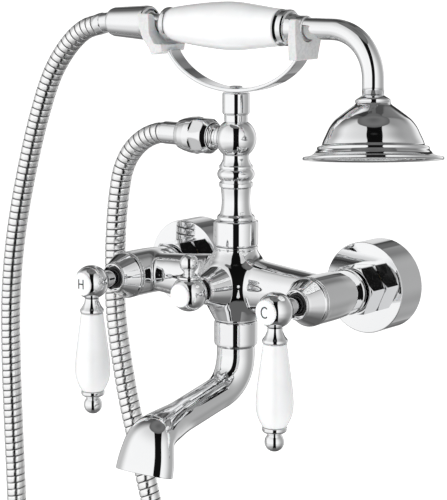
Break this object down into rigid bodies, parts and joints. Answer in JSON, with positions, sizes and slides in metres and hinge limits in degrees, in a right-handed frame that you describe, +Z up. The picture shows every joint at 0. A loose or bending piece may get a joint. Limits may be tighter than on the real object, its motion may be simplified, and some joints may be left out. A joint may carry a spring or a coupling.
{
  "type": "wall mounted bath shower mixer",
  "caption": "Chromed wall mounted bath mixer with lever handles, ball diverter, swivel spout and a hand shower on a cradle.",
  "frame": {"origin": "on the wall plane, midway between the two wall inlets", "axes": "+Z up, -Y out of the wall into the room, +X towards the cold inlet"},
  "size_m": [0.3693, 0.1826, 0.7027],
  "materials": {
    "chrome": "polished chrome plate, mirror bright",
    "brass": "machined brass, satin",
    "ceramic": "white glazed porcelain",
    "translucent_plastic": "milky translucent plastic, soft satin",
    "rubber": "black rubber",
    "steel": "stainless screw steel",
    "hose_metal": "interlocked chromed metal hose, polished bands",
    "perforated_plastic": "grey white moulded plastic"
  },
  "bodies": {
    "mixer": {"eccentric_connector_hot": "brass", "escutcheon_hot": "chrome", "union_nut_hot": "chrome", "union_washer_hot": "rubber", "inlet_tail_hot": "brass", "cartridge_hot": "brass", "bonnet_hot": "chrome", "eccentric_connector_cold": "brass", "escutcheon_cold": "chrome", "union_nut_cold": "chrome", "union_washer_cold": "rubber", "inlet_tail_cold": "brass", "cartridge_cold": "brass", "bonnet_cold": "chrome", "main_body": "chrome", "diverter_cartridge": "brass", "diverter_bonnet": "chrome", "spout_collar_nut": "chrome", "riser_union_nut": "chrome", "riser_washer": "rubber", "riser_column": "chrome", "hose_outlet_ball": "chrome", "cradle_stem": "chrome", "cradle_yoke": "chrome", "cradle_screw": "steel", "cradle_fork_left": "translucent_plastic", "cradle_fork_right": "translucent_plastic", "hose_washer_lower": "rubber", "hose_nut_lower": "chrome", "hose_ferrule_lower": "chrome", "shower_hose": "hose_metal"},
    "hot_lever": {"spindle_hot": "chrome", "handle_hub_hot": "chrome", "handle_screw_hot": "steel", "index_button_hot": "ceramic", "lever_collar_hot": "chrome", "lever_grip_hot": "ceramic", "lever_finial_hot": "chrome"},
    "cold_lever": {"spindle_cold": "chrome", "handle_hub_cold": "chrome", "handle_screw_cold": "steel", "index_button_cold": "ceramic", "lever_collar_cold": "chrome", "lever_grip_cold": "ceramic", "lever_finial_cold": "chrome"},
    "diverter_knob": {"diverter_spindle": "chrome", "diverter_hub": "chrome", "diverter_screw": "steel", "diverter_button": "ceramic", "diverter_pointer": "chrome"},
    "spout": {"spout_tube": "chrome", "spout_o_ring": "rubber", "aerator": "perforated_plastic"},
    "handset": {"hose_ferrule_upper": "chrome", "hose_nut_upper": "chrome", "handset_neck": "chrome", "handset_grip": "ceramic", "handset_elbow": "chrome", "shower_bell": "chrome", "shower_faceplate": "perforated_plastic"}
  },
  "joints": [
    {"name": "hot_turn", "type": "hinge", "parent": "mixer", "child": "hot_lever", "pos_m": [-0.075, -0.1172, 0], "axis": [0, 1, 0], "range_deg": [0, 90]},
    {"name": "cold_turn", "type": "hinge", "parent": "mixer", "child": "cold_lever", "pos_m": [0.075, -0.1172, 0], "axis": [0, 1, 0], "range_deg": [-90, 0]},
    {"name": "diverter_turn", "type": "hinge", "parent": "mixer", "child": "diverter_knob", "pos_m": [0, -0.108, 0], "axis": [0, 1, 0], "range_deg": [0, 90]},
    {"name": "spout_swivel", "type": "hinge", "parent": "mixer", "child": "spout", "pos_m": [0, -0.0605, -0.04], "axis": [0, 0, 1], "range_deg": [-30, 30]},
    {"name": "handset_lift", "type": "slide", "parent": "mixer", "child": "handset", "axis": [0, 0, 1], "range_m": [0, 0.04]}
  ]
}
